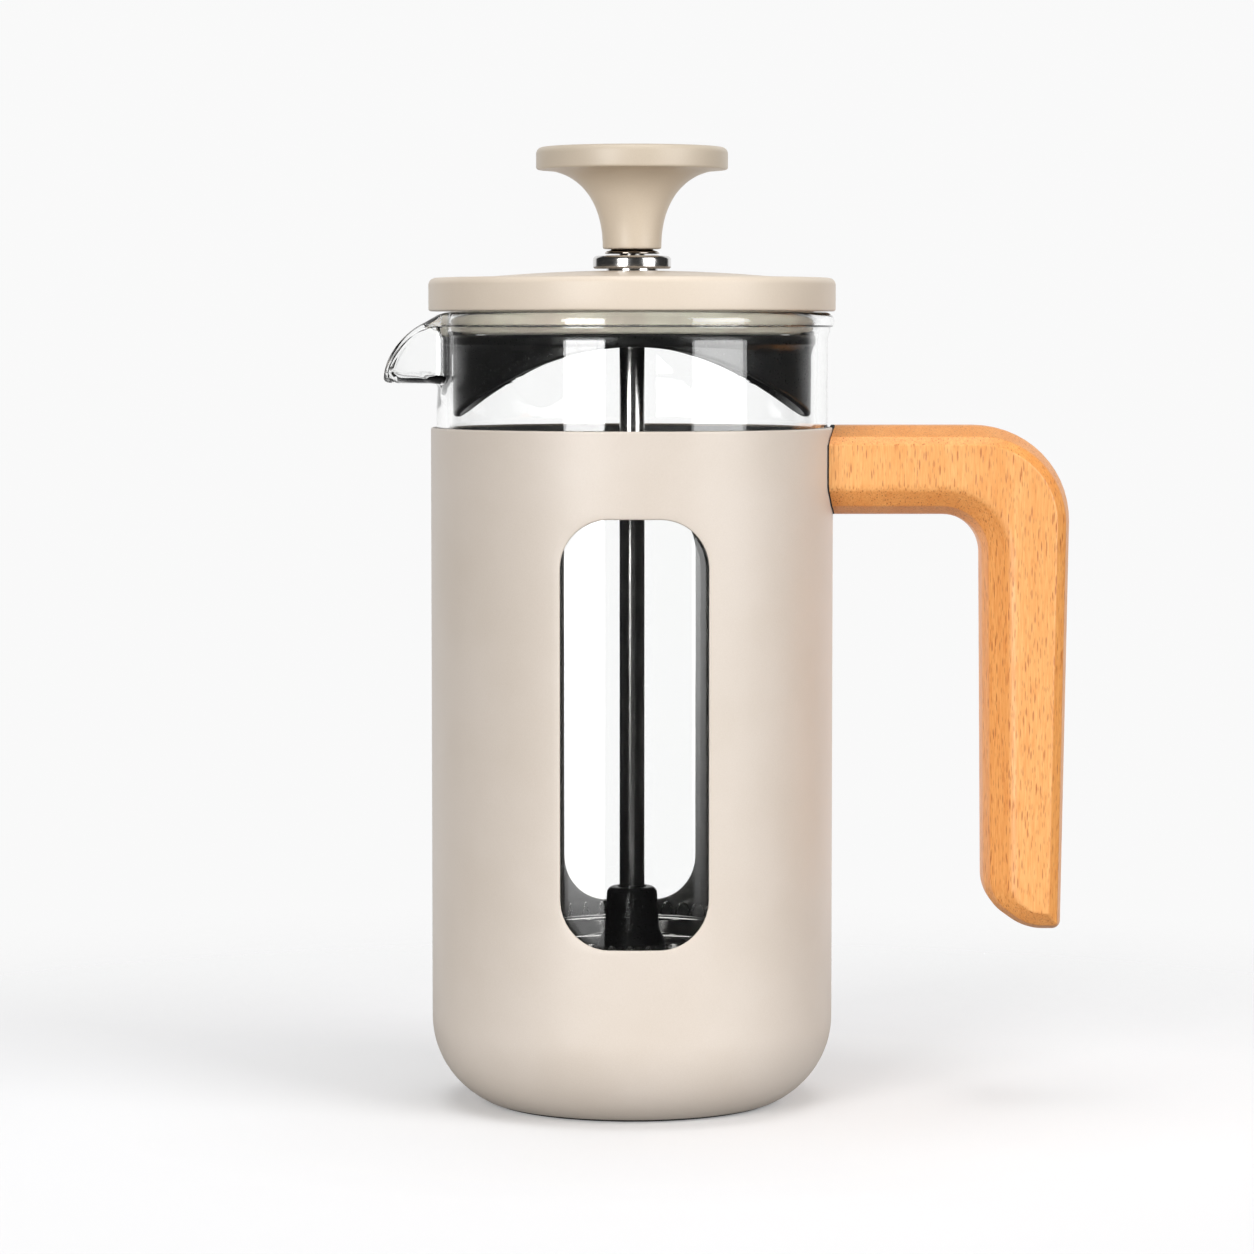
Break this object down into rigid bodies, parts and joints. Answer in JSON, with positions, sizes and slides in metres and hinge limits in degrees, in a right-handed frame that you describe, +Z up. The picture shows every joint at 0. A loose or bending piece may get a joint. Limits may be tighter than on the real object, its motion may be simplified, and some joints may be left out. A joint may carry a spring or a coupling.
{
  "type": "french press",
  "caption": "Small french press with a painted steel sleeve with tall windows, a glass beaker, an L-shaped wooden handle, a turning lid and a plunger with a trumpet-shaped knob.",
  "frame": {"origin": "centre of the underside of the foot pad, where the press stands", "axes": "+Z up along the plunger rod, +X towards the handle, -X towards the spout, -Y towards the front"},
  "size_m": [0.1226, 0.0728, 0.171],
  "materials": {
    "sleeve_paint": "satin latte paint",
    "lid_paint": "satin latte paint",
    "knob_paint": "satin latte paint",
    "plug_plastic": "fine matte moulding",
    "beech": "oiled beech with short dark flecks",
    "glass": "clear, fire-polished",
    "black_plastic": "smooth moulded",
    "rubber": "matte silicone",
    "chrome": "polished",
    "dark_chrome": "polished, dark",
    "bright_steel": "drawn, polished lengthwise",
    "filter_steel": "fine satin",
    "brass": "turned"
  },
  "bodies": {
    "frame": {"frame_sleeve": "sleeve_paint", "base_pad": "rubber", "beaker_cushion": "rubber", "handle": "beech", "handle_gasket": "rubber", "handle_screw": "bright_steel", "handle_insert": "brass"},
    "beaker": {"glass_beaker": "glass"},
    "lid_guide": {"lid_collar": "chrome", "collar_nut": "bright_steel", "rod_bush": "black_plastic"},
    "lid": {"lid_cap": "lid_paint", "lid_plug": "plug_plastic", "lid_skirt": "black_plastic"},
    "plunger": {"plunger_knob": "knob_paint", "knob_insert": "brass", "knob_stop": "dark_chrome", "plunger_rod": "bright_steel", "filter_hub": "black_plastic", "spiral_plate": "filter_steel", "filter_spring": "filter_steel", "mesh_screen": "filter_steel", "cross_plate": "filter_steel", "filter_nut": "bright_steel"}
  },
  "joints": [
    {"name": "beaker_lift", "type": "slide", "parent": "frame", "child": "beaker", "axis": [0, 0, 1], "range_m": [0, 0.125]},
    {"name": "lid_lift", "type": "slide", "parent": "beaker", "child": "lid_guide", "axis": [0, 0, 1], "range_m": [0, 0.12]},
    {"name": "lid_turn", "type": "hinge", "parent": "lid_guide", "child": "lid", "pos_m": [0, 0, 0.1455], "axis": [0, 0, 1], "continuous": true},
    {"name": "plunger_slide", "type": "slide", "parent": "lid_guide", "child": "plunger", "axis": [0, 0, 1], "range_m": [0, 0.09]}
  ]
}
